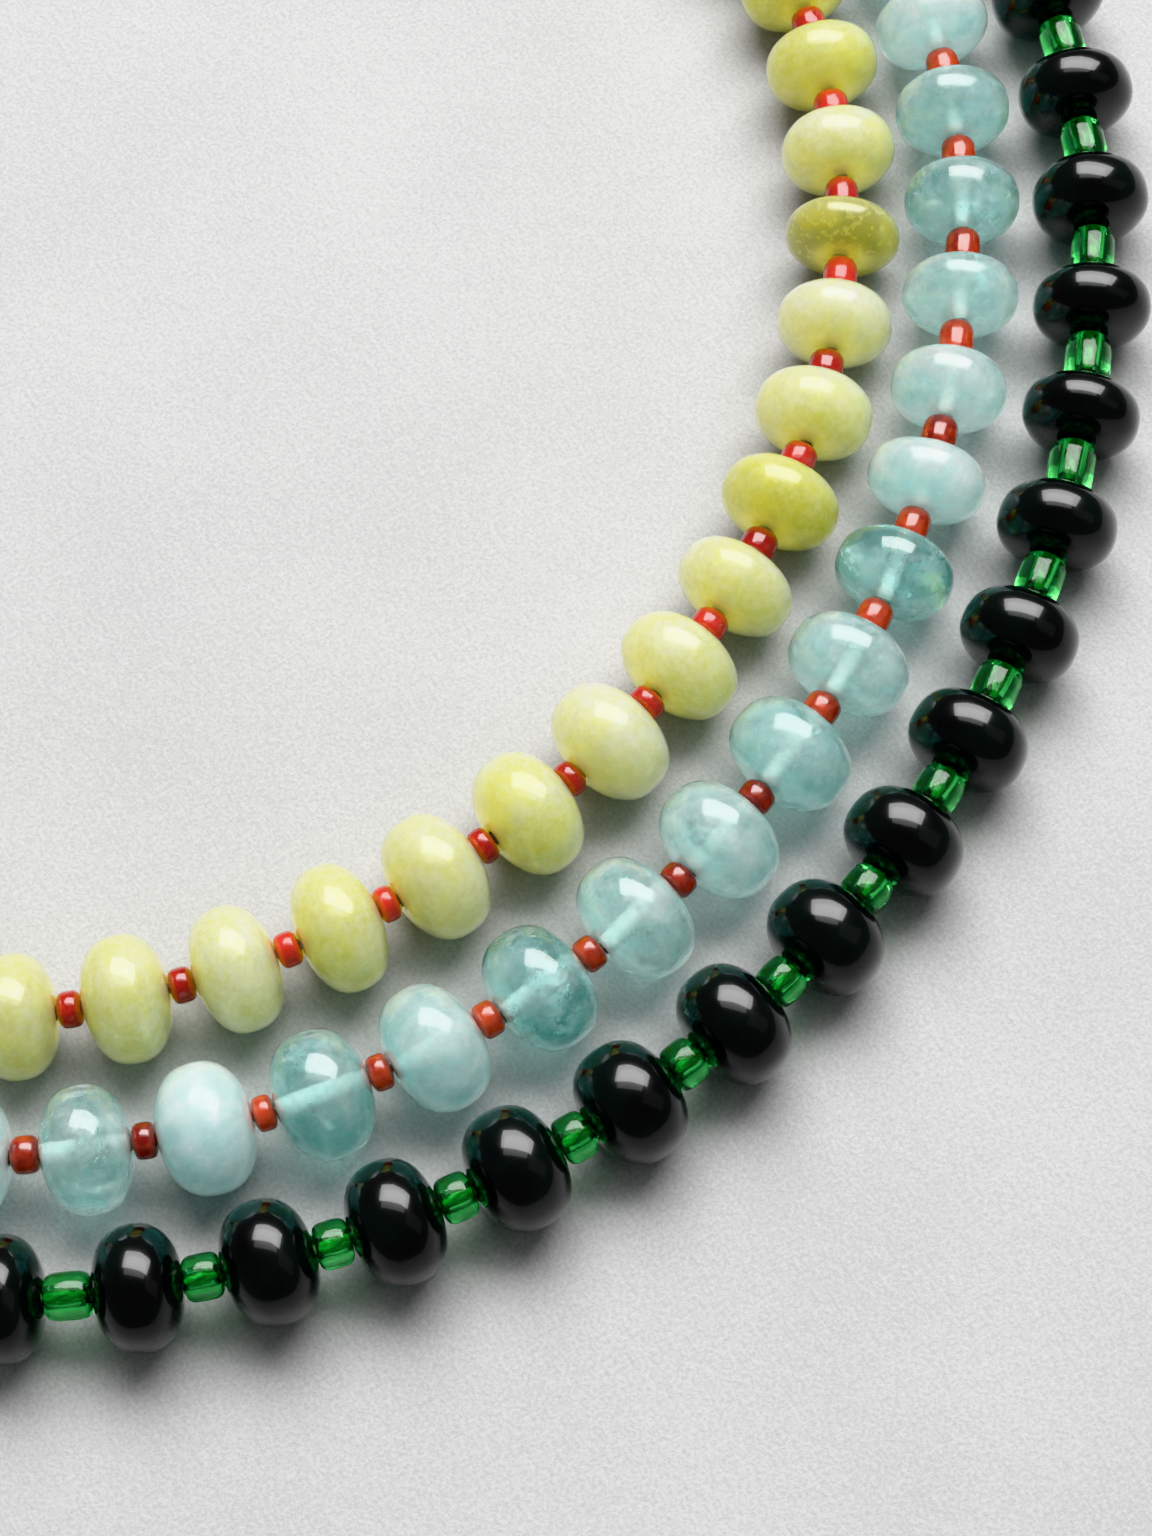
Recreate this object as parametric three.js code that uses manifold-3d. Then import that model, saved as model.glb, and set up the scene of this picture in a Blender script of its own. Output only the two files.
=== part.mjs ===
// Necklace of three strands of polished stone rondelles, laid out in nested rings on a flat surface.
// Each strand is a thread through rondelles with one small glass bead between each pair of stones.
// The strands lie side by side round the neck, spread apart a little at the front, and share one
// three-row bar clasp at the back. Millimetres, +Z up, the front of the necklace at -Y.
import * as THREE from "three";
import { mergeVertices } from "three/addons/utils/BufferGeometryUtils.js";
import Module from "manifold-3d";

const wasm = await Module();
wasm.setup();

// Stones and thread
const gemDiameter = 10;
const gemSides = 10;
const threadDiameter = 0.9;
// Half of a stone's outline, from the edge of its drilled face to its belly:
// how far along the half length, and how wide as a share of the diameter.
const gemShoulder = { along: 0.75, wide: 0.82 };

// How the strands lie
const neckRadius = 73.8; // middle of the inner strand's thread
const rowClearance = 0.3; // air between the stones of two strands where they lie side by side
const bareThread = 1.5; // thread left bare between the last small bead and the clasp

// Three-row clasp: a flat bar with a short tube for each thread on both sides
const claspWidth = 12;
const claspHeight = 8;
const claspOverhang = 4.5; // from the outermost thread to the bar's end
const claspCorner = 2.5;
const claspEdge = 0.8;
const tubeDiameter = 3;
const tubeLength = 3;
const tubeSides = 10;
const meetingGap = 0.3; // between the end of a thread's run and the tube that it goes into

// From the inside out. spacerDiameter and spacerLength are the small glass beads between stones.
// spread is how much farther than side by side a strand lies from the one inside it at the front,
// and spreadReach the angle from the front where it is back beside it. firstGem is where the stone
// of the first length share sits, along the strand from the front centre. lengthShares are the
// stones' lengths as shares of gemLength, used in turn all round.
const strands = [
  {
    name: "inner_strand",
    color: 0xb9b867,
    gemLength: 7.1,
    spacerDiameter: 3.05,
    spacerLength: 1.75,
    firstGem: -25.9,
    lengthShares: [1.02, 1.02, 0.97, 1.02, 1.05, 1.02, 0.97, 0.95, 1, 1.03, 0.99, 0.95, 1.01, 1.01],
  },
  {
    name: "middle_strand",
    color: 0x9cc0b4,
    gemLength: 7.25,
    spacerDiameter: 3.05,
    spacerLength: 2.1,
    spread: 2.5,
    spreadReach: 57,
    firstGem: -35.4,
    lengthShares: [1.01, 1.02, 1.02, 1.03, 1.04, 1.02, 1.01, 1.02, 0.99, 0.98, 0.94, 0.95, 1.01, 1, 0.97, 0.97],
  },
  {
    name: "outer_strand",
    color: 0x1c211c,
    gemLength: 6.95,
    spacerDiameter: 3.9,
    spacerLength: 3.5,
    spread: 1.6,
    spreadReach: 105,
    firstGem: -37.4,
    lengthShares: [0.99, 0.96, 0.96, 0.98, 0.99, 0.98, 0.99, 0.98, 0.99, 1.01, 1.03, 1.02, 1.02, 1.07, 1.03],
  },
];

const threadHeight = gemDiameter / 2;
const rowPitch = gemDiameter + rowClearance;
const tubeReach = claspWidth / 2 + tubeLength;
const up = new THREE.Vector3(0, 0, 1);

// The line of a strand's thread: a ring round the neck from one side of the clasp to the other,
// a little larger towards the front where the strand falls clear of the one inside it.
class StrandRoute extends THREE.Curve {
  constructor(row) {
    super();
    this.row = row;
    this.endAngle = Math.PI - Math.asin((tubeReach + meetingGap) / this.radiusAt(Math.PI));
    this.arcLengthDivisions = 1440;
  }

  radiusAt(angle) {
    let radius = neckRadius + this.row * rowPitch;
    for (const { spread, spreadReach } of strands.slice(1, this.row + 1)) {
      const away = Math.abs(THREE.MathUtils.radToDeg(angle)) / spreadReach;
      if (away < 1) radius += spread * Math.cos((away * Math.PI) / 2) ** 2;
    }
    return radius;
  }

  getPoint(t, target = new THREE.Vector3()) {
    const angle = (2 * t - 1) * this.endAngle;
    const radius = this.radiusAt(angle);
    return target.set(radius * Math.sin(angle), -radius * Math.cos(angle), threadHeight);
  }
}

// The stones of a strand that fit on a string of this length, each with its middle and its length.
function gemsAlong(strand, stringLength) {
  const turns = strand.lengthShares.length;
  const lengthOf = (n) => strand.gemLength * strand.lengthShares[((n % turns) + turns) % turns];
  const step = (n) => (lengthOf(n) + lengthOf(n + 1)) / 2 + strand.spacerLength;
  const endRoom = (n) => lengthOf(n) / 2 + strand.spacerLength + bareThread;
  let n = 0;
  let middle = stringLength / 2 + strand.firstGem;
  while (middle - step(n - 1) > endRoom(n - 1)) {
    middle -= step(n - 1);
    n -= 1;
  }
  const gems = [];
  while (middle < stringLength - endRoom(n)) {
    gems.push({ middle, length: lengthOf(n) });
    middle += step(n);
    n += 1;
  }
  return gems;
}

// A whole strand as one closed body: the straight string is turned as one profile, then each stone
// is laid rigidly on the route, with the small beads as plain barrels between their drilled faces.
// What is left of the string at each end is filled with small beads up to the bare thread.
function strandGeometry(strand, row) {
  const route = new StrandRoute(row);
  const stringLength = route.getLength();
  const gems = gemsAlong(strand, stringLength);
  const holeRadius = strand.spacerDiameter / 2;
  const spacersStart = bareThread;
  const spacersEnd = stringLength - bareThread;

  const profile = [];
  const stations = [];
  const addRing = (radius, along, station) => {
    profile.push(new THREE.Vector2(radius, along));
    stations.push(station);
  };
  addRing(0, 0, 0);
  addRing(threadDiameter / 2, 0, 0);
  addRing(threadDiameter / 2, spacersStart, spacersStart);
  addRing(holeRadius, spacersStart, spacersStart);
  for (const { middle, length } of gems) {
    const half = length / 2;
    addRing(holeRadius, middle - half, middle);
    addRing(gemShoulder.wide * (gemDiameter / 2), middle - gemShoulder.along * half, middle);
    addRing(gemDiameter / 2, middle, middle);
    addRing(gemShoulder.wide * (gemDiameter / 2), middle + gemShoulder.along * half, middle);
    addRing(holeRadius, middle + half, middle);
  }
  addRing(holeRadius, spacersEnd, spacersEnd);
  addRing(threadDiameter / 2, spacersEnd, spacersEnd);
  addRing(threadDiameter / 2, stringLength, stringLength);
  addRing(0, stringLength, stringLength);

  const geometry = new THREE.LatheGeometry(profile, gemSides);
  const positions = geometry.getAttribute("position");
  const frames = new Map();
  const frameAt = (station) => {
    if (!frames.has(station)) {
      const u = THREE.MathUtils.clamp(station / stringLength, 0, 1);
      const ahead = route.getTangentAt(u);
      const aside = new THREE.Vector3().crossVectors(ahead, up).normalize();
      const origin = route.getPointAt(u).addScaledVector(ahead, -station);
      frames.set(station, new THREE.Matrix4().makeBasis(aside, ahead, up).setPosition(origin));
    }
    return frames.get(station);
  };
  const point = new THREE.Vector3();
  for (let i = 0; i < positions.count; i += 1) {
    point.fromBufferAttribute(positions, i).applyMatrix4(frameAt(stations[i % profile.length]));
    positions.setXYZ(i, point.x, point.y, point.z);
  }
  geometry.computeVertexNormals();
  return geometry;
}

function solidFrom(geometry) {
  const bare = geometry.clone().deleteAttribute("normal").deleteAttribute("uv");
  const merged = mergeVertices(bare, 1e-4);
  return new wasm.Manifold(
    new wasm.Mesh({
      numProp: 3,
      vertProperties: merged.getAttribute("position").array,
      triVerts: new Uint32Array(merged.index.array),
    }),
  );
}

function geometryFrom(solid) {
  const { vertProperties, triVerts } = solid.getMesh();
  const geometry = new THREE.BufferGeometry();
  geometry.setAttribute("position", new THREE.BufferAttribute(vertProperties, 3));
  geometry.setIndex(new THREE.BufferAttribute(triVerts, 1));
  const flat = geometry.toNonIndexed();
  flat.computeVertexNormals();
  return flat;
}

// The clasp: a soft-edged bar across the back of the three strands, flat on the surface, with a
// tube towards each thread's end. The tubes lie level with the threads.
function claspGeometry() {
  const threadEnds = strands.map((_, row) => new StrandRoute(row).getPoint(1).y);
  const low = threadEnds[0] - claspOverhang;
  const high = threadEnds[threadEnds.length - 1] + claspOverhang;
  const halfWidth = claspWidth / 2 - claspEdge;
  const halfLength = (high - low) / 2 - claspEdge;
  const corner = claspCorner - claspEdge;
  const outline = new THREE.Shape();
  outline.moveTo(halfWidth - corner, -halfLength);
  outline.absarc(halfWidth - corner, corner - halfLength, corner, -Math.PI / 2, 0);
  outline.absarc(halfWidth - corner, halfLength - corner, corner, 0, Math.PI / 2);
  outline.absarc(corner - halfWidth, halfLength - corner, corner, Math.PI / 2, Math.PI);
  outline.absarc(corner - halfWidth, corner - halfLength, corner, Math.PI, Math.PI * 1.5);
  const bar = new THREE.ExtrudeGeometry(outline, {
    depth: claspHeight - 2 * claspEdge,
    curveSegments: 3,
    bevelThickness: claspEdge,
    bevelSize: claspEdge,
    bevelSegments: 1,
  });
  bar.translate(0, (low + high) / 2, claspEdge);
  return threadEnds.reduce((solid, y) => {
    const tubes = new THREE.CylinderGeometry(tubeDiameter / 2, tubeDiameter / 2, 2 * tubeReach, tubeSides);
    tubes.rotateZ(Math.PI / 2).translate(0, y, threadHeight);
    return solid.add(solidFrom(tubes));
  }, solidFrom(bar));
}

const necklace = new THREE.Group();
strands.forEach((strand, row) => {
  const material = new THREE.MeshStandardMaterial({ color: strand.color, roughness: 0.12, metalness: 0 });
  const mesh = new THREE.Mesh(strandGeometry(strand, row), material);
  mesh.name = strand.name;
  necklace.add(mesh);
});

const silver = new THREE.MeshStandardMaterial({ color: 0xc9c9c6, roughness: 0.25, metalness: 1 });
const clasp = new THREE.Mesh(geometryFrom(claspGeometry()), silver);
clasp.name = "clasp";
necklace.add(clasp);

// The origin is the middle of the laid-out necklace, on the surface that it lies on.
const middle = new THREE.Box3().setFromObject(necklace).getCenter(new THREE.Vector3());
necklace.position.set(-middle.x, -middle.y, 0);

export default necklace;
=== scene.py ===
# %% [markdown]
# # A three-strand necklace of stone rondelles
# The necklace lies open on pale paper: an inner strand of yellow-green stones, a middle one of
# pale blue-green stones and an outer one of black stones, with small glass beads between them.
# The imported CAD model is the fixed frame. It holds each strand as one plain body, so this lesson
# rebuilds every stone, bead, thread and the clasp in the same place, with its real surface.

# %% Load the frame
import math
import random
from bisect import bisect_left
from collections import namedtuple

import bmesh
import bpy
from mathutils import Matrix, Vector, noise


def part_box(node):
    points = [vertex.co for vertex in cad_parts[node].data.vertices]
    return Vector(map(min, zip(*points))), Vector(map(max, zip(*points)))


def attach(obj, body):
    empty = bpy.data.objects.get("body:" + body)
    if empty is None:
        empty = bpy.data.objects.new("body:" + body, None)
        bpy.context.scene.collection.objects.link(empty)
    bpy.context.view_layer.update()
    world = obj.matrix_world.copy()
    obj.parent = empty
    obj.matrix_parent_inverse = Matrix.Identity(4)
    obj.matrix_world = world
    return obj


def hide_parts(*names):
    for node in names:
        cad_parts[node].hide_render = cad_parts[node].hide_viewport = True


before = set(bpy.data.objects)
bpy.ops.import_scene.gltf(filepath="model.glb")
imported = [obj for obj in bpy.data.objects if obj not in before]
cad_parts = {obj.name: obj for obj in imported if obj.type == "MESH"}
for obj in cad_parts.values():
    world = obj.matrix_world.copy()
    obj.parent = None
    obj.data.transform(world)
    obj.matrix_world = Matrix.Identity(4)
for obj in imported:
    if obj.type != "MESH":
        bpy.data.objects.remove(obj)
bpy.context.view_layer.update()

# %% [markdown]
# ## The sizes that the strands follow
# A strung necklace is a pattern: stone, small bead, stone, small bead. The makers' sizes are few,
# so they are kept in one row per strand, in millimetres, and match the CAD part's own. The stones
# differ a little in length, and the list of shares is used in turn all round the strand. The
# photograph also shows that the stones at the front are longer and a little wider than those up
# the sides, so each strand says by what share.

# %% Strand sizes
MM = 0.001
GEM_RADIUS = 5.0
NECK_RADIUS = 73.8
ROW_PITCH = 10.3
BARE_THREAD = 1.5
CLASP_WIDTH = 12.0
TUBE_LENGTH = 3.0
MEETING_GAP = 0.3
CLASP_OVERHANG = 4.5
FRONT_STONES_TO = 10.0
SIDE_STONES_FROM = 45.0
SIDE_LENGTH_SHARE = 0.86

Strand = namedtuple(
    "Strand", "name gem_length spacer_radius spacer_length spread reach first_gem longer wider shares")
STRANDS = [
    Strand("inner", 7.1, 1.525, 1.75, 0.0, 1.0, -25.9, 0.14, 0.065,
           [1.02, 1.02, 0.97, 1.02, 1.05, 1.02, 0.97, 0.95, 1, 1.03, 0.99, 0.95, 1.01, 1.01]),
    Strand("middle", 7.25, 1.525, 2.1, 2.5, 57.0, -35.4, 0.16, 0.07,
           [1.01, 1.02, 1.02, 1.03, 1.04, 1.02, 1.01, 1.02, 0.99, 0.98, 0.94, 0.95, 1.01, 1, 0.97, 0.97]),
    Strand("outer", 6.95, 1.95, 3.5, 1.6, 105.0, -37.4, 0.22, 0.01,
           [0.99, 0.96, 0.96, 0.98, 0.99, 0.98, 0.99, 0.98, 0.99, 1.01, 1.03, 1.02, 1.02, 1.07, 1.03]),
]

# %% [markdown]
# ## The line of each thread
# Laid out on a table, a strand lies in a ring round the neck and falls a little clear of the
# one inside it at the front. Beads sit at distances measured along the thread, not at angles, so
# the ring is walked in short steps once and every place on it is looked up by its distance.

# %% Thread lines
clasp_low, clasp_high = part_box("clasp")
TUBE_REACH = CLASP_WIDTH / 2 + TUBE_LENGTH
RING_STEPS = 4000


def ring_radius(row, angle):
    radius = NECK_RADIUS + row * ROW_PITCH
    for strand in STRANDS[1:row + 1]:
        away = abs(math.degrees(angle)) / strand.reach
        if away < 1:
            radius += strand.spread * math.cos(away * math.pi / 2) ** 2
    return radius


def frontness(angle):
    """1 among the big stones at the front, 0 among those up the sides, and even between."""
    t = (abs(math.degrees(angle)) - FRONT_STONES_TO) / (SIDE_STONES_FROM - FRONT_STONES_TO)
    t = min(1.0, max(0.0, t))
    return 1 - t * t * (3 - 2 * t)


def end_angle(row):
    return math.pi - math.asin((TUBE_REACH + MEETING_GAP) / ring_radius(row, math.pi))


neck_middle = Vector((
    (clasp_low.x + clasp_high.x) / 2 / MM,
    clasp_low.y / MM + CLASP_OVERHANG + ring_radius(0, math.pi) * math.cos(end_angle(0)),
    0,
))


class ThreadLine:
    """The route of one strand's thread, with places found by distance along it."""

    def __init__(self, row):
        self.limit = end_angle(row)
        self.points = []
        for step in range(RING_STEPS + 1):
            angle = self.angle_of(step)
            radius = ring_radius(row, angle)
            height = GEM_RADIUS * (1 + STRANDS[row].wider * frontness(angle))
            around = Vector((radius * math.sin(angle), -radius * math.cos(angle), height))
            self.points.append(neck_middle + around)
        self.distances = [0.0]
        for a, b in zip(self.points, self.points[1:]):
            self.distances.append(self.distances[-1] + (b - a).length)
        self.length = self.distances[-1]

    def angle_of(self, step):
        return (2 * step / RING_STEPS - 1) * self.limit

    def step_at(self, distance):
        return min(max(bisect_left(self.distances, distance), 1), RING_STEPS)

    def front_at(self, distance):
        return frontness(self.angle_of(self.step_at(distance)))

    def frame_at(self, distance):
        """A matrix with +X away from the neck, +Y along the thread and +Z up, at that place."""
        i = self.step_at(distance)
        a, b = self.points[i - 1], self.points[i]
        ahead = (b - a).normalized()
        aside = ahead.cross(Vector((0, 0, 1))).normalized()
        up = aside.cross(ahead)
        turn = Matrix((aside, ahead, up)).transposed().to_4x4()
        return Matrix.Translation(a + ahead * (distance - self.distances[i - 1])) @ turn


LINES = [ThreadLine(row) for row in range(len(STRANDS))]
print("thread lengths in mm:", [round(line.length, 1) for line in LINES])

# %% [markdown]
# ## Where the stones and small beads sit
# The stone of the first share sits at a chosen place near the front. From there the pattern is
# walked back to the clasp and then forward round the whole strand. Each stone then takes its own
# length, a few of them listed one by one, and the small beads fill what is left between the stones and at
# the ends.

# %% Bead places
Bead = namedtuple("Bead", "place length index")
LENGTH_SCATTER = 0.025
OWN_LENGTHS = {("inner", 11): 0.82, ("middle", 0): 1.09, ("middle", 2): 1.04, ("middle", 12): 0.88}


def string_beads(strand, line):
    turns = len(strand.shares)

    def length_of(n):
        return strand.gem_length * strand.shares[n % turns]

    def step(n):
        return (length_of(n) + length_of(n + 1)) / 2 + strand.spacer_length

    def end_room(n):
        return length_of(n) / 2 + strand.spacer_length + BARE_THREAD

    draw = random.Random(strand.name)
    n, place = 0, line.length / 2 + strand.first_gem
    while place - step(n - 1) > end_room(n - 1):
        place -= step(n - 1)
        n -= 1
    gems = []
    while place < line.length - end_room(n):
        own = SIDE_LENGTH_SHARE + strand.longer * line.front_at(place) + draw.gauss(0, LENGTH_SCATTER)
        own *= OWN_LENGTHS.get((strand.name, n), 1.0)
        gems.append(Bead(place, length_of(n) * own, n))
        place += step(n)
        n += 1
    spacers = []

    def fill(low, high, count):
        length = (high - low) / count
        spacers.extend(Bead(low + (k + 0.5) * length, length, len(spacers) + k) for k in range(count))

    def fill_end(low, high):
        fill(low, high, max(1, round((high - low) / strand.spacer_length)))

    fill_end(BARE_THREAD, gems[0].place - gems[0].length / 2)
    for a, b in zip(gems, gems[1:]):
        fill(a.place + a.length / 2, b.place - b.length / 2, 1)
    fill_end(gems[-1].place + gems[-1].length / 2, line.length - BARE_THREAD)
    return gems, spacers


PATTERN = [string_beads(strand, line) for strand, line in zip(STRANDS, LINES)]
print("stones and small beads:", [(len(gems), len(spacers)) for gems, spacers in PATTERN])

# %% [markdown]
# ## The camera
# The photograph looks steeply down at the front and right of the necklace, from about a third of
# a metre, with the camera tilted a little round its own axis. The camera is turned in that order:
# round the necklace, down from the zenith, and then about its own line of sight.

# %% Camera
PHOTO_HEIGHT = 1536
FOCAL_PIXELS = 3997.5
CAMERA_DISTANCE = 329.57
CAMERA_COMPASS = -25.0
CAMERA_STEEPNESS = 65.486
CAMERA_ROLL = -7.557
AIM_FROM_NECK = (16.19, -69.68, 0)
camera_aim = neck_middle + Vector(AIM_FROM_NECK)
camera_turn = (
    Matrix.Rotation(math.radians(CAMERA_COMPASS), 4, "Z")
    @ Matrix.Rotation(math.radians(90 - CAMERA_STEEPNESS), 4, "X")
    @ Matrix.Rotation(math.radians(CAMERA_ROLL), 4, "Z")
)
camera = bpy.data.objects.new("camera", bpy.data.cameras.new("camera"))
bpy.context.scene.collection.objects.link(camera)
bpy.context.scene.camera = camera
camera.data.sensor_width = 36.0
camera.data.lens = camera.data.sensor_width * FOCAL_PIXELS / PHOTO_HEIGHT
camera.data.clip_start = 0.01
back = camera_turn.to_3x3() @ Vector((0, 0, 1))
camera.matrix_world = Matrix.Translation((camera_aim + back * CAMERA_DISTANCE) * MM) @ camera_turn
print("lens in mm:", round(camera.data.lens, 1))

# %% [markdown]
# ## Writing shader maths as ordinary arithmetic
# A material is a graph, and a long graph is hard to read as code. A small class holds one output
# socket and turns +, - and * into Math nodes, so a mask can be written the way it would be on
# paper. Every other node comes from one method that takes its kind, settings and inputs.

# %% Shader maths
class Value:
    """One number of a node tree, with the arithmetic that adds its Math nodes."""

    def __init__(self, finish, socket):
        self.finish = finish
        self.socket = socket

    def maths(self, operation, *terms):
        return self.finish.node("ShaderNodeMath", {"operation": operation}, dict(enumerate(terms)))

    def __add__(self, other):
        return self.maths("ADD", self, other)

    def __radd__(self, other):
        return self.maths("ADD", other, self)

    def __sub__(self, other):
        return self.maths("SUBTRACT", self, other)

    def __rsub__(self, other):
        return self.maths("SUBTRACT", other, self)

    def __mul__(self, other):
        return self.maths("MULTIPLY", self, other)

    def __rmul__(self, other):
        return self.maths("MULTIPLY", other, self)

    def clamped(self):
        return self.finish.node("ShaderNodeClamp", {}, {0: self})

    def smooth(self, low, high):
        """0 below low, 1 above high, and an even slope without corners between them."""
        inputs = {0: self, 1: low, 2: high, 3: 0.0, 4: 1.0}
        return self.finish.node("ShaderNodeMapRange", {"interpolation_type": "SMOOTHSTEP"}, inputs)


class Finish:
    """A material with one Principled shader, and a method that adds any other node."""

    def __init__(self, name, **constants):
        self.material = bpy.data.materials.new(name)
        self.material.use_nodes = True
        self.tree = self.material.node_tree
        self.shader = self.tree.nodes["Principled BSDF"]
        self.output = self.tree.nodes["Material Output"]
        self.set(self.shader, constants)

    def set(self, shader, constants):
        for name, value in constants.items():
            shader.inputs[name.replace("_", " ")].default_value = value

    def node(self, kind, settings, inputs, output=0):
        made = self.tree.nodes.new(kind)
        for name, value in settings.items():
            setattr(made, name, value)
        for key, value in inputs.items():
            if isinstance(value, Value):
                self.tree.links.new(value.socket, made.inputs[key])
            else:
                made.inputs[key].default_value = value
        return Value(self, made.outputs[output])

    def feed(self, name, value, shader=None):
        self.tree.links.new(value.socket, (shader or self.shader).inputs[name])

    def place(self):
        return self.node("ShaderNodeTexCoord", {}, {}, "Object")

    def share(self, attribute):
        """A number stored on each stone or bead of a piece."""
        return self.node("ShaderNodeAttribute", {"attribute_name": attribute}, {}, "Fac")

    def noise(self, millimetres, detail=2.0, roughness=0.5, distortion=0.0, at=None):
        """Soft random cloud, from about 0.3 to 0.7, whose patches are about that wide."""
        inputs = {
            "Vector": at or self.place(),
            "Scale": 1 / (millimetres * MM),
            "Detail": detail,
            "Roughness": roughness,
            "Distortion": distortion,
        }
        return self.node("ShaderNodeTexNoise", {}, inputs)

    def drawn_out(self, turn, scale):
        """The place, turned about the vertical and squeezed, so that a noise on it is drawn out."""
        inputs = {"Vector": self.place(), "Rotation": (0.0, 0.0, turn), "Scale": scale}
        return self.node("ShaderNodeMapping", {}, inputs)

    def blend(self, factor, first, second):
        """A colour between two others."""
        inputs = {0: factor, 6: rgba(first), 7: rgba(second)}
        return self.node("ShaderNodeMix", {"data_type": "RGBA"}, inputs, 2)

    def bump(self, height, strength, millimetres):
        inputs = {"Height": height, "Strength": strength, "Distance": millimetres * MM}
        return self.node("ShaderNodeBump", {}, inputs)


def rgba(colour):
    return colour if isinstance(colour, Value) else (*colour, 1.0)


# %% [markdown]
# ## The paper and the room
# The necklace lies on off-white paper with a soft tooth. Paper is nearly matt, and what makes it
# paper is its low, uneven relief, so fine grain, crossing fibres and a wider tooth are mixed into
# one bump. The room round the soft box is dim and even: it fills the shadows, and polished stones
# mirror it only faintly. The view keeps colours true and rolls the brightest tones off softly, as
# a product photograph does.

# %% Paper
PAPER_SIDE = 7.0
paper_mesh = bpy.data.meshes.new("paper")
bm = bmesh.new()
bmesh.ops.create_grid(bm, x_segments=1, y_segments=1, size=PAPER_SIDE / 2)
bm.to_mesh(paper_mesh)
bm.free()
paper = bpy.data.objects.new("paper", paper_mesh)
bpy.context.scene.collection.objects.link(paper)

paper_finish = Finish("paper", Roughness=0.85)
grain = paper_finish.noise(0.35, detail=4.0, roughness=0.7)
fibres = paper_finish.noise(0.5, detail=3.0, at=paper_finish.drawn_out(0.5, (1.0, 0.3, 1.0)))
crossing = paper_finish.noise(0.45, detail=3.0, at=paper_finish.drawn_out(2.1, (1.0, 0.25, 1.0)))
tooth = paper_finish.noise(1.6, detail=3.0, roughness=0.6)
felt = fibres * 0.5 + crossing * 0.5
tone = (paper_finish.noise(22.0, detail=2.0) * 0.15 + grain * 0.65 + felt * 0.2).smooth(0.38, 0.62)
paper_finish.feed("Base Color", paper_finish.blend(tone, (0.465, 0.465, 0.465), (0.575, 0.575, 0.57)))
paper_finish.feed("Normal", paper_finish.bump(grain * 0.6 + felt * 0.25 + tooth * 0.5, 0.45, 0.4))
paper.data.materials.append(paper_finish.material)

# %% Room
FILL_LIGHT = 0.26
BACKDROP = 0.42
world = bpy.data.worlds.new("room")
bpy.context.scene.world = world
world.use_nodes = True
room = world.node_tree
fill = room.nodes["Background"]
fill.inputs["Color"].default_value = (0.98, 0.98, 1.0, 1.0)
fill.inputs["Strength"].default_value = FILL_LIGHT
rays = room.nodes.new("ShaderNodeLightPath")
pale = room.nodes.new("ShaderNodeBackground")
pale.inputs["Color"].default_value = (BACKDROP, BACKDROP, BACKDROP, 1.0)
either = room.nodes.new("ShaderNodeMixShader")
room.links.new(rays.outputs["Is Camera Ray"], either.inputs[0])
room.links.new(fill.outputs[0], either.inputs[1])
room.links.new(pale.outputs[0], either.inputs[2])
room.links.new(either.outputs[0], room.nodes["World Output"].inputs[0])
bpy.context.scene.view_settings.view_transform = "Khronos PBR Neutral"

# %% [markdown]
# ## The studio light
# Every polished stone carries the same bright four-sided highlight on its upper side, and the
# shadows fall softly towards the viewer. Both come from one large soft box above and behind the
# necklace as the camera sees it, so that is the main light, with its place taken from where the
# highlight sits on the stones. A weak second box above it softens the highlight's upper edge, and
# a faint card on the right lifts the shadow side a little.

# %% Soft boxes
def soft_box(name, turn, height, distance, width, depth, watts):
    """A rectangular light that looks at the front of the necklace, placed by its compass turn."""
    data = bpy.data.lights.new(name, "AREA")
    data.shape = "RECTANGLE"
    data.size, data.size_y = width, depth
    data.energy = watts
    lamp = bpy.data.objects.new(name, data)
    bpy.context.scene.collection.objects.link(lamp)
    a, e = math.radians(turn), math.radians(height)
    away = Vector((math.sin(a) * math.cos(e), math.cos(a) * math.cos(e), math.sin(e)))
    aim = camera_aim * MM
    facing = away.to_track_quat("Z", "Y").to_matrix().to_4x4()
    lamp.matrix_world = Matrix.Translation(aim + away * distance) @ facing


soft_box("soft_box", turn=45, height=56, distance=1.25, width=1.40, depth=0.82, watts=24.0)
soft_box("soft_box_spill", turn=42, height=68, distance=1.3, width=1.1, depth=0.9, watts=5.0)
soft_box("fill_card", turn=135, height=42, distance=1.2, width=0.6, depth=0.9, watts=0.45)
print("lights:", len([o for o in bpy.context.scene.objects if o.type == "LIGHT"]))

# %% [markdown]
# ## A drilled rondelle
# A rondelle is a flattened ball with a hole along its short axis. Its outline was read as a
# rounded rectangle that is fuller than an ellipse, so half of the outline is drawn from that
# rule, joined through the hole, and spun once round the thread. The hole's edge is broken by a
# tiny bevel, as tumbling leaves it.

# %% Rondelle by spinning an outline
GEM_BORE = 0.62
HOLE_EDGE = 0.12
MOUTH_DEPTH = 0.03
WIDE_POWER = 2.3
LONG_POWER = 2.4
SPIN_STEPS = 36


def fullness(t, power):
    return math.copysign(abs(t) ** (2 / power), t)


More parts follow.
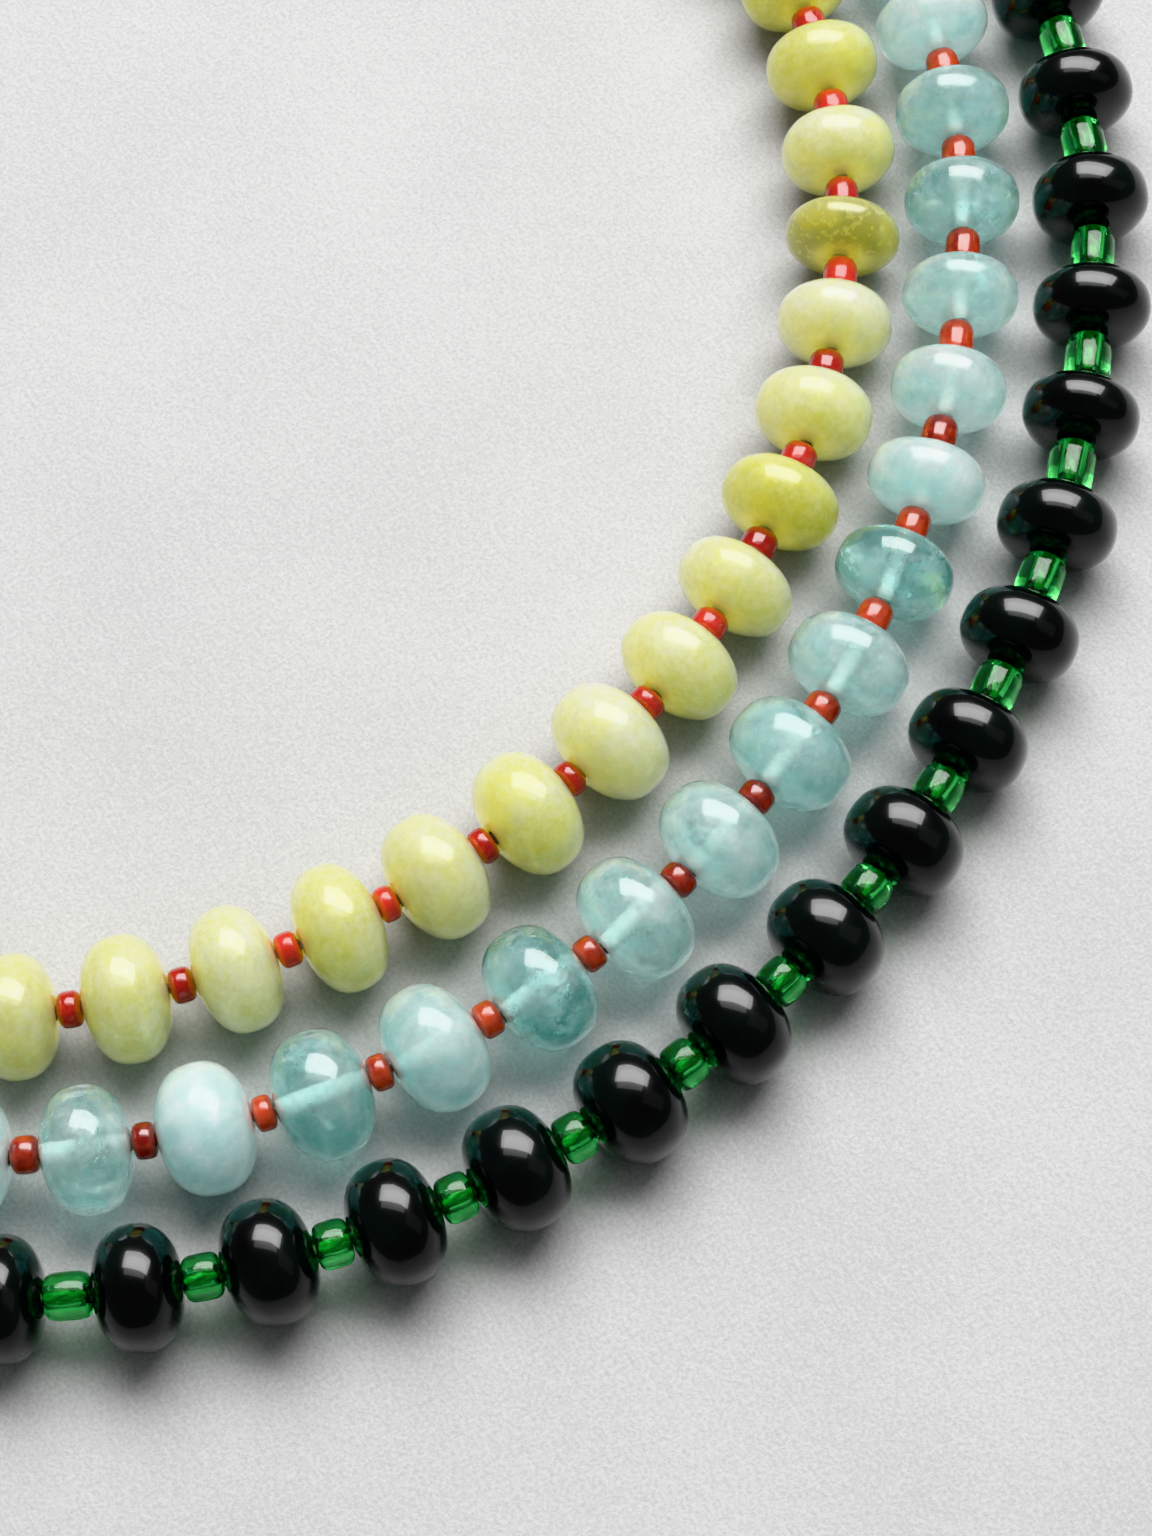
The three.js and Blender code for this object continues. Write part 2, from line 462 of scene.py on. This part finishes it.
def spun_mesh(name, outline, steps, bore):
    """Closes an outline of (radius, along) points and spins it round the Y axis. The faces of
    the hole get the second finish."""
    bm = bmesh.new()
    ring = [bm.verts.new((radius, along, 0)) for radius, along in outline]
    edges = [bm.edges.new(pair) for pair in zip(ring, ring[1:] + ring[:1])]
    bmesh.ops.spin(bm, geom=ring + edges, cent=(0, 0, 0), axis=(0, 1, 0), angle=2 * math.pi,
                   steps=steps, use_merge=True)
    bmesh.ops.remove_doubles(bm, verts=bm.verts, dist=1e-6)
    bmesh.ops.recalc_face_normals(bm, faces=bm.faces)
    for face in bm.faces:
        if all(math.hypot(vert.co.x, vert.co.z) < bore * 1.01 for vert in face.verts):
            face.material_index = 1
    mesh = bpy.data.meshes.new(name)
    bm.to_mesh(mesh)
    bm.free()
    return mesh


def rondelle_outline(points=17):
    """Half length 1 and radius GEM_RADIUS, from one edge of the hole to the other and back."""
    edge = math.acos((GEM_BORE + HOLE_EDGE) / GEM_RADIUS) * 0.985
    outline = []
    for k in range(points):
        t = edge * (2 * k / (points - 1) - 1)
        wide = GEM_RADIUS * fullness(math.cos(t), WIDE_POWER)
        outline.append((wide, fullness(math.sin(t), LONG_POWER)))
    mouth = outline[-1][1] - MOUTH_DEPTH
    return outline + [(GEM_BORE, mouth), (GEM_BORE, 0.0), (GEM_BORE, -mouth)]


rondelle = spun_mesh("rondelle", rondelle_outline(), SPIN_STEPS, GEM_BORE)
print("rondelle faces:", len(rondelle.polygons))

# %% [markdown]
# ## Stringing the stones
# Copies of the one rondelle are set on the thread as a single mesh per strand, because dozens of
# loose objects would be slow to handle. No two hand-cut stones are alike, so each copy is turned
# at random, leans a little, and gets a shallow unevenness of its own. It rests on the paper.

# %% Stone pieces
UNEVEN = 0.09
LEAN = math.radians(1.6)


def new_piece(name, bm, *finishes):
    mesh = bpy.data.meshes.new(name)
    bm.to_mesh(mesh)
    bm.free()
    for face in mesh.polygons:
        face.use_smooth = True
    for finish in finishes:
        mesh.materials.append(finish.material)
    piece = bpy.data.objects.new(name, mesh)
    bpy.context.scene.collection.objects.link(piece)
    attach(piece, "root")
    return piece


def share_out(piece, attribute, values, each):
    """Stores one number per stone or bead on all the points of its copy."""
    stored = piece.data.attributes.new(attribute, "FLOAT", "POINT")
    stored.data.foreach_set("value", [v for v in values for _ in range(each)])


def string_gems(name, row, finish, drilled, draw):
    strand, line, gems = STRANDS[row], LINES[row], PATTERN[row][0]
    bm = bmesh.new()
    each = len(rondelle.vertices)
    for gem in gems:
        bm.from_mesh(rondelle)
        bm.verts.ensure_lookup_table()
        points = bm.verts[-each:]
        wide = (1 + strand.wider * line.front_at(gem.place)) * draw.uniform(0.985, 1.005)
        own = Vector((draw.uniform(0, 90), draw.uniform(0, 90), draw.uniform(0, 90)))
        for vert in points:
            out = Vector((vert.co.x, 0, vert.co.z)).length / GEM_RADIUS
            swell = noise.noise(own + vert.co * 0.33) * UNEVEN * min(1.0, max(0.0, out - 0.2) * 2)
            scale = wide + swell / GEM_RADIUS
            stretch = gem.length / 2 * (1 + swell / GEM_RADIUS)
            vert.co = Vector((vert.co.x * scale, vert.co.y * stretch, vert.co.z * scale))
        lean = Matrix.Rotation(draw.gauss(0, LEAN), 4, "X") @ Matrix.Rotation(draw.gauss(0, LEAN), 4, "Z")
        turn = Matrix.Rotation(draw.uniform(0, 2 * math.pi), 4, "Y")
        bmesh.ops.transform(bm, matrix=line.frame_at(gem.place) @ lean @ turn, verts=points)
        low = min(vert.co.z for vert in points)
        bmesh.ops.translate(bm, vec=(0, 0, -low), verts=points)
    bmesh.ops.scale(bm, vec=(MM, MM, MM), verts=bm.verts)
    return new_piece(name, bm, finish, drilled)


def mouths(gems):
    """How far each point of each stone is towards its drilled ends: 0 at the belly, 1 at the hole."""
    return [abs(vert.co.y) for vert in rondelle.vertices] * len(gems)


# %% [markdown]
# ## The drilled holes
# A drill leaves a frosted wall. In the clear stones it is the whitish bar seen in their middle,
# so the faces of each hole have a rough pale finish of their own, and a dark one in black stone.

# %% Drilled finishes
def drilled_finish(name, deep, pale):
    finish = Finish(name, Roughness=0.55)
    rings = finish.noise(0.35, detail=3.0)
    finish.feed("Base Color", finish.blend(rings.smooth(0.3, 0.7), deep, pale))
    return finish


pale_hole = drilled_finish("pale_drilled_wall", (0.86, 0.88, 0.85), (0.98, 0.98, 0.95))
dark_hole = drilled_finish("dark_drilled_wall", (0.02, 0.022, 0.02), (0.06, 0.065, 0.06))

# %% [markdown]
# ## Yellow-green stone
# The inner stones are a milky yellow-green stone, like new jade: light goes in, scatters and
# comes out elsewhere, so their shadow side glows. A plain green paint would look like plastic.
# Subsurface scattering carries the glow, and a little light of its own round the hole stands for
# what gathers at the drilled face. Two clouds mix pale and olive patches. Each stone stores how
# pale, how grainy and how warm it is: given one by one for the front ones, from 0 to 1, and drawn for the
# rest.

# %% Yellow-green finish
lime = Finish("yellow_green_stone", Roughness=0.28, IOR=1.5, Specular_IOR_Level=0.35, Coat_Weight=1.0,
              Coat_Roughness=0.04, Subsurface_Weight=1.0, Subsurface_Scale=0.04,
              Subsurface_Radius=(1.0, 0.9, 0.3), Subsurface_Anisotropy=0.6)
HOLE_GLOW = (0.16, 0.145, 0.045)
lime.set(lime.shader, {"Emission_Strength": 1.0})
lime_tone = lime.share("tone")
spots = lime.share("spots")
clouds = lime.noise(3.4, detail=3.0, roughness=0.5)
mottle = lime.noise(0.7, detail=3.0, roughness=0.6)
depth = clouds.smooth(0.3, 0.7) * 0.3 + mottle.smooth(0.3, 0.7) * 0.3 + lime_tone * 0.9 - 0.25
lime_body = lime.blend(depth.clamped(), (0.53, 0.525, 0.12), (0.82, 0.81, 0.50))
lime_body = lime.blend(spots * 0.9, lime_body, (0.15, 0.16, 0.09))
warm_side = lime.noise(5.0, detail=2.0).smooth(0.40, 0.60) * 0.6 * lime.share("warm")
# Painted glow: a warm tint round each drilled hole stands for light that comes through the stone near the
# hole. The warm patches mixed in with it are the stone's own colour.
painted_hole_glow = lime.share("mouth").smooth(0.88, 1.0) * 0.4
lime_body = lime.blend((warm_side + painted_hole_glow).clamped(), lime_body, (0.94, 0.82, 0.20))
pale_grains = lime.noise(0.6, detail=2.0).smooth(0.55, 0.75) * (0.25 + 0.2 * spots)
lime_body = lime.blend(pale_grains, lime_body, (0.84, 0.84, 0.54))
pits = lime.noise(0.6, detail=2.0).smooth(0.58, 0.72)
lime_body = lime.blend(pits * spots * 0.7, lime_body, (0.20, 0.20, 0.05))
lime.feed("Base Color", lime_body)
lime.feed("Emission Color", lime.blend(lime.share("mouth").smooth(0.8, 1.0), (0.0, 0.0, 0.0), HOLE_GLOW))
lime.feed("Normal", lime.bump(0.5 * lime.noise(2.6) - 0.5 * pits, 0.3, 0.1))

lime_draw = random.Random(11)
lime_gems = string_gems("inner_gems", 0, lime, pale_hole, lime_draw)
LIME_FRONT = [0.50, 0.58, 0.42, 0.66, 0.38, 0.84, 0.50, 0.62, 0.15, 0.64, 0.84, 0.12, 0.56, 0.34]
lime_tones = [LIME_FRONT[g.index] if 0 <= g.index < len(LIME_FRONT) else lime_draw.choice(LIME_FRONT)
              for g in PATTERN[0][0]]
share_out(lime_gems, "tone", lime_tones, len(rondelle.vertices))
LIME_SPOTS = [0.1, 0.0, 0.1, 0.2, 0.0, 0.1, 0.0, 0.1, 0.4, 0.1, 0.1, 1.0, 0.0, 0.3]
LIME_WARM = [0.1, 0.0, 0.3, 0.2, 0.6, 0.3, 0.4, 0.4, 0.3, 0.5, 0.4, 0.2, 0.9, 0.3]
share_out(lime_gems, "mouth", mouths(PATTERN[0][0]), 1)
for attribute, front in (("spots", LIME_SPOTS), ("warm", LIME_WARM)):
    values = [front[g.index % len(front)] for g in PATTERN[0][0]]
    share_out(lime_gems, attribute, values, len(rondelle.vertices))
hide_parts("inner_strand")
print("yellow-green stones:", len(lime_tones))

# %% [markdown]
# ## Blue-green stone
# The middle stones run from milky to clear in one string. So two shaders are mixed: a milky one
# that scatters, and a clear one that bends light and lets the drilled hole show. A cloud pattern
# and each stone's own cloudiness decide between them. Light that bounces about inside is slow to
# trace, so a faint light of the stone's own, stronger in the paler stones, stands for it.

# %% Blue-green finish
aqua = Finish("blue_green_stone", Roughness=0.3, IOR=1.5, Specular_IOR_Level=0.15, Coat_Weight=1.0,
              Coat_Roughness=0.04, Subsurface_Weight=1.0, Subsurface_Scale=0.026,
              Subsurface_Radius=(0.5, 1.0, 1.0), Subsurface_Anisotropy=0.6)
aqua_tone = aqua.share("tone")
cloudiness = aqua.share("cloud")
veil = aqua.noise(2.8, detail=4.0, roughness=0.6)
wisps = aqua.noise(1.1, detail=4.0, roughness=0.65, distortion=0.6)
aqua_mouth = aqua.share("mouth").smooth(0.88, 1.0)
aqua_depth = veil.smooth(0.3, 0.7) * 0.35 + wisps.smooth(0.3, 0.7) * 0.15 + aqua_tone * 0.4
aqua_body = aqua.blend(aqua_depth.clamped(), (0.36, 0.93, 0.89), (0.72, 1.0, 0.98))
aqua.feed("Base Color", aqua.blend(aqua_mouth * 0.6, aqua_body, (0.86, 0.93, 0.90)))
inner_light = aqua.blend(aqua_tone, (0.005, 0.014, 0.012), (0.088, 0.10, 0.097))
aqua.set(aqua.shader, {"Emission_Strength": 1.0})
aqua.feed("Emission Color", inner_light)
clear = aqua.tree.nodes.new("ShaderNodeBsdfPrincipled")
aqua.set(clear, {"Roughness": 0.12, "IOR": 1.5, "Transmission_Weight": 1.0, "Coat_Weight": 1.0,
                 "Coat_Roughness": 0.03, "Emission_Strength": 1.0})
aqua.feed("Emission Color", inner_light, clear)
clear_depth = veil.smooth(0.35, 0.65) * (0.4 + 0.6 * aqua_tone)
aqua.feed("Base Color", aqua.blend(clear_depth, (0.56, 0.98, 0.945), (0.89, 1.0, 0.985)), clear)
mixed = aqua.tree.nodes.new("ShaderNodeMixShader")
milk = (cloudiness + (veil - 0.5) * 0.7 + wisps.smooth(0.5, 0.8) * 0.15 + aqua_mouth * 0.2).clamped()
aqua.tree.links.new(milk.socket, mixed.inputs[0])
aqua.tree.links.new(clear.outputs[0], mixed.inputs[1])
aqua.tree.links.new(aqua.shader.outputs[0], mixed.inputs[2])
aqua.tree.links.new(mixed.outputs[0], aqua.output.inputs[0])

aqua_draw = random.Random(23)
aqua_gems = string_gems("middle_gems", 1, aqua, pale_hole, aqua_draw)
AQUA_CLOUD = [0.16, 0.85, 0.22, 0.50, 0.18, 0.20, 0.27, 0.25,
              0.23, 0.14, 0.45, 0.27, 0.27, 0.18, 0.25, 0.33]
AQUA_TONE = [0.50, 0.45, 0.10, 0.55, 0.00, 0.60, 0.68, 0.30,
             0.62, 0.00, 1.00, 1.00, 0.85, 0.25, 0.40, 1.00]
aqua_clouds, aqua_tones = [], []
for g in PATTERN[1][0]:
    front = 0 <= g.index < len(AQUA_CLOUD)
    aqua_clouds.append(AQUA_CLOUD[g.index] if front else aqua_draw.choice(AQUA_CLOUD))
    aqua_tones.append(AQUA_TONE[g.index] if front else aqua_draw.choice(AQUA_TONE))
share_out(aqua_gems, "cloud", aqua_clouds, len(rondelle.vertices))
share_out(aqua_gems, "tone", aqua_tones, len(rondelle.vertices))
share_out(aqua_gems, "mouth", mouths(PATTERN[1][0]), 1)
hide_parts("middle_strand")
print("blue-green stones:", len(aqua_tones))

# %% [markdown]
# ## Veils in the clear stones
# Clear stones of this kind have healed cracks in them, thin curved sheets that catch the light.
# Paint on the surface can't look deep, so each clear stone holds a few real flakes: small discs
# made long and uneven, given a hair's thickness and turned at random round the drilled hole. The
# clearer the stone, the more of them it gets.

# %% Veil flakes
CLEAR_BELOW = 0.7
VEIL_THICKNESS = 0.04
VEILS_A_STONE = 7

veil_finish = Finish("healed_crack", Roughness=0.25, IOR=1.7)
frost = veil_finish.noise(0.8)
veil_finish.feed("Base Color", veil_finish.blend(frost, (0.80, 0.92, 0.90), (1.0, 1.0, 1.0)))
veil_finish.feed("Alpha", 0.9 * veil_finish.noise(0.4, detail=4.0, roughness=0.7).smooth(0.44, 0.62))


def flake(draw):
    """One thin uneven sheet, somewhere between the hole and the skin of a stone at the origin."""
    bm = bmesh.new()
    across = draw.uniform(0.5, 1.2)
    bmesh.ops.create_circle(bm, cap_ends=True, segments=10, radius=across)
    bmesh.ops.poke(bm, faces=bm.faces[:])
    own = Vector((draw.uniform(0, 50), draw.uniform(0, 50), 0))
    for vert in bm.verts:
        vert.co *= 1 + 0.7 * noise.noise(own + vert.co)
        vert.co.x *= 1.6
        vert.co.z += 0.35 * across * noise.noise(own * 2 + vert.co * 0.8)
    bmesh.ops.solidify(bm, geom=bm.faces[:], thickness=VEIL_THICKNESS)
    bmesh.ops.recalc_face_normals(bm, faces=bm.faces)
    roll = Matrix.Rotation(draw.uniform(0, math.pi), 4, "X")
    tilt = Matrix.Rotation(draw.uniform(0, math.pi), 4, "Y")
    round_hole = Matrix.Rotation(draw.uniform(0, 2 * math.pi), 4, "Y")
    out = Matrix.Translation((draw.uniform(1.9, 3.1), draw.uniform(-1.1, 1.1), 0))
    bmesh.ops.transform(bm, matrix=round_hole @ out @ roll @ tilt, verts=bm.verts)
    mesh = bpy.data.meshes.new("flake")
    bm.to_mesh(mesh)
    bm.free()
    return mesh


veil_draw = random.Random(29)
bm = bmesh.new()
for gem, cloud in zip(PATTERN[1][0], aqua_clouds):
    for _ in range(round(VEILS_A_STONE * (1 - cloud)) if cloud < CLEAR_BELOW else 0):
        sheet = flake(veil_draw)
        sheet.transform(LINES[1].frame_at(gem.place))
        bm.from_mesh(sheet)
        bpy.data.meshes.remove(sheet)
bmesh.ops.scale(bm, vec=(MM, MM, MM), verts=bm.verts)
veils = new_piece("middle_veils", bm, veil_finish)
print("veil faces:", len(veils.data.polygons))

# %% [markdown]
# ## Black stone
# The outer stones are black with a dark green cast where light gets a little way in. Almost all
# of what is seen on them is reflection, so the finish is a very dark body under a high polish,
# and the faint unevenness of its polish breaks the edges of the reflections.

# %% Black finish
black = Finish("black_stone", Roughness=0.26, IOR=1.5, Specular_IOR_Level=0.3, Coat_Weight=1.0,
               Coat_Roughness=0.065, Coat_IOR=1.43)
green_cast = black.noise(4.0, detail=2.0).smooth(0.35, 0.65)
black.feed("Base Color", black.blend(green_cast, (0.0008, 0.0009, 0.0009), (0.001, 0.003, 0.002)))
black.feed("Roughness", 0.2 + 0.12 * black.noise(1.5, detail=3.0))
black_gems = string_gems("outer_gems", 2, black, dark_hole, random.Random(37))
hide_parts("outer_strand")
print("black stones:", len(PATTERN[2][0]))

# %% [markdown]
# ## Small glass beads
# Seed beads are cut from drawn glass tube and tumbled hot, so they are short barrels with fully
# rounded ends and a hole. One barrel outline is spun for each size, by the same rule as the
# stones but fuller. Bubbles and ridges drawn out with the tube run along the bead, so each bead
# also stores a number that changes round it but not along it.

# %% Seed beads
SEED_STEPS = 18
STREAK_FINENESS = 2.6


def barrel_outline(radius, half, bore, power, points=13):
    """From one mouth of the hole over the belly to the other, fuller than an ellipse."""
    edge = math.acos(((bore + 0.06) / radius) ** (power / 2))
    outline = []
    for k in range(points):
        t = edge * (2 * k / (points - 1) - 1)
        outline.append((radius * fullness(math.cos(t), power), half * fullness(math.sin(t), power)))
    mouth = outline[-1][1] - 0.05
    return outline + [(bore, mouth), (bore, -mouth)]


def string_spacers(name, row, finish, bore, power, draw):
    strand, beads = STRANDS[row], PATTERN[row][1]
    outline = barrel_outline(strand.spacer_radius, strand.spacer_length / 2 * 1.04, bore, power)
    barrel = spun_mesh(name + "_barrel", outline, SEED_STEPS, bore)
    each = len(barrel.vertices)
    turns = [math.atan2(vert.co.z, vert.co.x) for vert in barrel.vertices]
    bm = bmesh.new()
    for bead in beads:
        bm.from_mesh(barrel)
        bm.verts.ensure_lookup_table()
        points = bm.verts[-each:]
        wide = draw.uniform(0.96, 1.02)
        size = Matrix.Diagonal((wide, bead.length / strand.spacer_length, wide, 1))
        lean = Matrix.Rotation(draw.gauss(0, 0.04), 4, "X") @ Matrix.Rotation(draw.gauss(0, 0.04), 4, "Z")
        turn = Matrix.Rotation(draw.uniform(0, 2 * math.pi), 4, "Y")
        bmesh.ops.transform(bm, matrix=LINES[row].frame_at(bead.place) @ lean @ turn @ size, verts=points)
    bmesh.ops.scale(bm, vec=(MM, MM, MM), verts=bm.verts)
    piece = new_piece(name, bm, finish, finish)
    share_out(piece, "tone", [draw.random() for _ in beads], each)
    streaks = []
    for bead in beads:
        own = Vector((0, 0, bead.index * 7.3))
        around = [Vector((math.cos(turn), math.sin(turn), 0)) * STREAK_FINENESS for turn in turns]
        streaks += [0.5 + 0.5 * noise.noise(own + place) for place in around]
    share_out(piece, "streak", streaks, 1)
    return piece


# %% [markdown]
# ## Coral-red, russet and green glass
# The red beads are opaque glass with a wet gloss. The russet ones let a little light through and
# turn amber in places. The green ones are clear glass, and the streaks in them are bubbles drawn
# out with the tube, so the pattern runs along the thread.

# %% Glass finishes
red = Finish("coral_red_glass", Roughness=0.25, IOR=1.5, Specular_IOR_Level=0.2,
             Subsurface_Weight=0.4, Subsurface_Scale=0.0008, Subsurface_Radius=(1.0, 0.25, 0.15),
             Coat_Weight=1.0, Coat_Roughness=0.05, Coat_IOR=1.6)
red_grain = red.noise(0.9) * 0.3 + red.noise(0.25, detail=2.0) * 0.5
red_glow = (red.share("tone") * 0.4 + red.share("streak") * 0.2 + red_grain).smooth(0.4, 1.0)
red.feed("Base Color", red.blend(red_glow, (0.28, 0.012, 0.009), (0.60, 0.05, 0.035)))
red.feed("Normal", red.bump(red.share("streak"), 0.3, 0.15))
red_beads = string_spacers("inner_spacers", 0, red, 0.5, 3.4, random.Random(41))

russet = Finish("russet_glass", Roughness=0.2, IOR=1.5, Specular_IOR_Level=0.2,
                Subsurface_Weight=0.6, Subsurface_Scale=0.001, Subsurface_Radius=(1.0, 0.3, 0.12),
                Transmission_Weight=0.4, Coat_Weight=1.0, Coat_Roughness=0.04, Coat_IOR=1.6)
glow = russet.share("tone") * 0.4 + russet.share("streak") * 0.3 + russet.noise(0.8, detail=3.0) * 0.7
russet.feed("Base Color", russet.blend(glow.smooth(0.45, 0.95), (0.30, 0.02, 0.015), (0.82, 0.125, 0.055)))
russet.feed("Normal", russet.bump(russet.share("streak"), 0.35, 0.15))
russet_beads = string_spacers("middle_spacers", 1, russet, 0.5, 3.6, random.Random(43))

green = Finish("green_glass", Roughness=0.04, IOR=1.52, Transmission_Weight=1.0)
green.feed("Base Color", green.blend(green.share("streak"), (0.03, 0.45, 0.08), (0.15, 0.75, 0.22)))
green.feed("Normal", green.bump(green.share("streak") + 0.2 * green.noise(0.5), 0.35, 0.25))
green_beads = string_spacers("outer_spacers", 2, green, 0.65, 4.2, random.Random(47))
print("small bead faces:", [len(p.data.polygons) for p in (red_beads, russet_beads, green_beads)])

# %% [markdown]
# ## Thread
# Beading thread is two plies twisted together. It shows at the clasp, in the chinks between beads
# and through the clear stones, where a plain tube would look wrong, so each ply is a round curve
# that winds about the strand's line and is then made a mesh.

# %% Twisted thread
PLY_RADIUS = 0.22
TWIST = 2.4
PLY_STEP = 0.3
REACH_IN_TUBE = TUBE_LENGTH * 0.8
thread_finish = Finish("beading_thread", Roughness=0.8, Sheen_Weight=0.2)
lint = thread_finish.noise(0.25, detail=3.0).smooth(0.3, 0.7)
thread_finish.feed("Base Color", thread_finish.blend(lint, (0.66, 0.62, 0.52), (0.82, 0.79, 0.70)))


def twisted_thread(name, row):
    line = LINES[row]
    data = bpy.data.curves.new(name, "CURVE")
    data.dimensions = "3D"
    data.bevel_depth = PLY_RADIUS * MM
    data.bevel_resolution = 1
    data.use_fill_caps = True
    low = -MEETING_GAP - REACH_IN_TUBE
    high = line.length + MEETING_GAP + REACH_IN_TUBE
    count = int((high - low) / PLY_STEP)
    for ply in range(2):
        spline = data.splines.new("POLY")
        spline.points.add(count)
        for k in range(count + 1):
            along = low + (high - low) * k / count
            angle = 2 * math.pi * along / TWIST + math.pi * ply
            ring = Vector((PLY_RADIUS * math.cos(angle), 0, PLY_RADIUS * math.sin(angle)))
            spline.points[k].co = (*(line.frame_at(along) @ ring * MM), 1)
    source = bpy.data.objects.new(name + "_curve", data)
    bpy.context.scene.collection.objects.link(source)
    bpy.context.view_layer.update()
    mesh = bpy.data.meshes.new_from_object(source.evaluated_get(bpy.context.evaluated_depsgraph_get()))
    bpy.data.objects.remove(source)
    mesh.name = name
    mesh.materials.clear()
    bm = bmesh.new()
    bm.from_mesh(mesh)
    bmesh.ops.recalc_face_normals(bm, faces=bm.faces)
    piece = new_piece(name, bm, thread_finish)
    return piece


threads = [twisted_thread(strand.name + "_thread", row) for row, strand in enumerate(STRANDS)]
print("thread faces:", [len(t.data.polygons) for t in threads])

# %% [markdown]
# ## The bar clasp
# The photograph doesn't reach the clasp, so it is the plainest one that three strands need: a
# bar with a short tube for each thread on both sides. A cube is stretched and its edges are
# rounded by a bevel, and the tubes are drilled barrels set into its sides. Such a bar is two
# halves that slide together, so a fine seam runs round its middle: five cuts, of which the inmost
# sinks and the outer two keep the flat sides flat under smooth shading.

# %% Clasp
SEAM_CUTS = (-0.25, -0.1, 0.0, 0.1, 0.25)
SEAM_DEPTH = 0.2
CORNER_ROUNDING = 2.4
RIM_ROUNDING = 1.0
TUBE_SET_IN = 0.25
clasp_finish = Finish("satin_silver", Metallic=0.75, Roughness=0.35)
satin = clasp_finish.noise(0.4, detail=3.0)
brushed = satin.smooth(0.3, 0.7)
clasp_finish.feed("Base Color", clasp_finish.blend(brushed, (0.60, 0.60, 0.58), (0.70, 0.70, 0.68)))
clasp_finish.feed("Roughness", 0.3 + 0.16 * satin)
bm = bmesh.new()
bmesh.ops.create_cube(bm, size=1)
size = (clasp_high - clasp_low) / MM
centre = (clasp_high + clasp_low) / 2 / MM
bmesh.ops.scale(bm, vec=(CLASP_WIDTH, size.y, size.z), verts=bm.verts)
upright = [e for e in bm.edges if abs(e.verts[0].co.z - e.verts[1].co.z) > 1]
bmesh.ops.bevel(bm, geom=upright, offset=CORNER_ROUNDING, offset_type="OFFSET", segments=6,
                profile=0.5, affect="EDGES", material=-1)
rims = [e for e in bm.edges if abs(e.verts[0].co.z - e.verts[1].co.z) < 0.01]
bmesh.ops.bevel(bm, geom=rims, offset=RIM_ROUNDING, offset_type="OFFSET", segments=4,
                profile=0.5, affect="EDGES", material=-1)
for x in SEAM_CUTS:
    bmesh.ops.bisect_plane(bm, geom=bm.verts[:] + bm.edges[:] + bm.faces[:],
                           plane_co=(x, 0, 0), plane_no=(1, 0, 0))
bm.normal_update()
for vert in bm.verts:
    if abs(vert.co.x) < 0.01:
        vert.co -= vert.normal * SEAM_DEPTH
bmesh.ops.translate(bm, vec=centre, verts=bm.verts)
tube_outline = barrel_outline(1.5, TUBE_LENGTH / 2 + TUBE_SET_IN, bore=0.7, power=7.0)
tube = spun_mesh("tube", tube_outline, steps=28, bore=0.0)
along_x = Matrix.Rotation(math.pi / 2, 4, "Z")
for line in LINES:
    mouth = line.frame_at(line.length).to_translation()
    for side in (-1, 1):
        aside = side * (CLASP_WIDTH / 2 + TUBE_LENGTH / 2 - TUBE_SET_IN)
        middle = Vector((centre.x + aside, mouth.y, mouth.z))
        placed = tube.copy()
        placed.transform(Matrix.Translation(middle) @ along_x)
        bm.from_mesh(placed)
        bpy.data.meshes.remove(placed)
bmesh.ops.scale(bm, vec=(MM, MM, MM), verts=bm.verts)
clasp = new_piece("clasp_bar", bm, clasp_finish)
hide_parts("clasp")
print("clasp faces:", len(clasp.data.polygons))
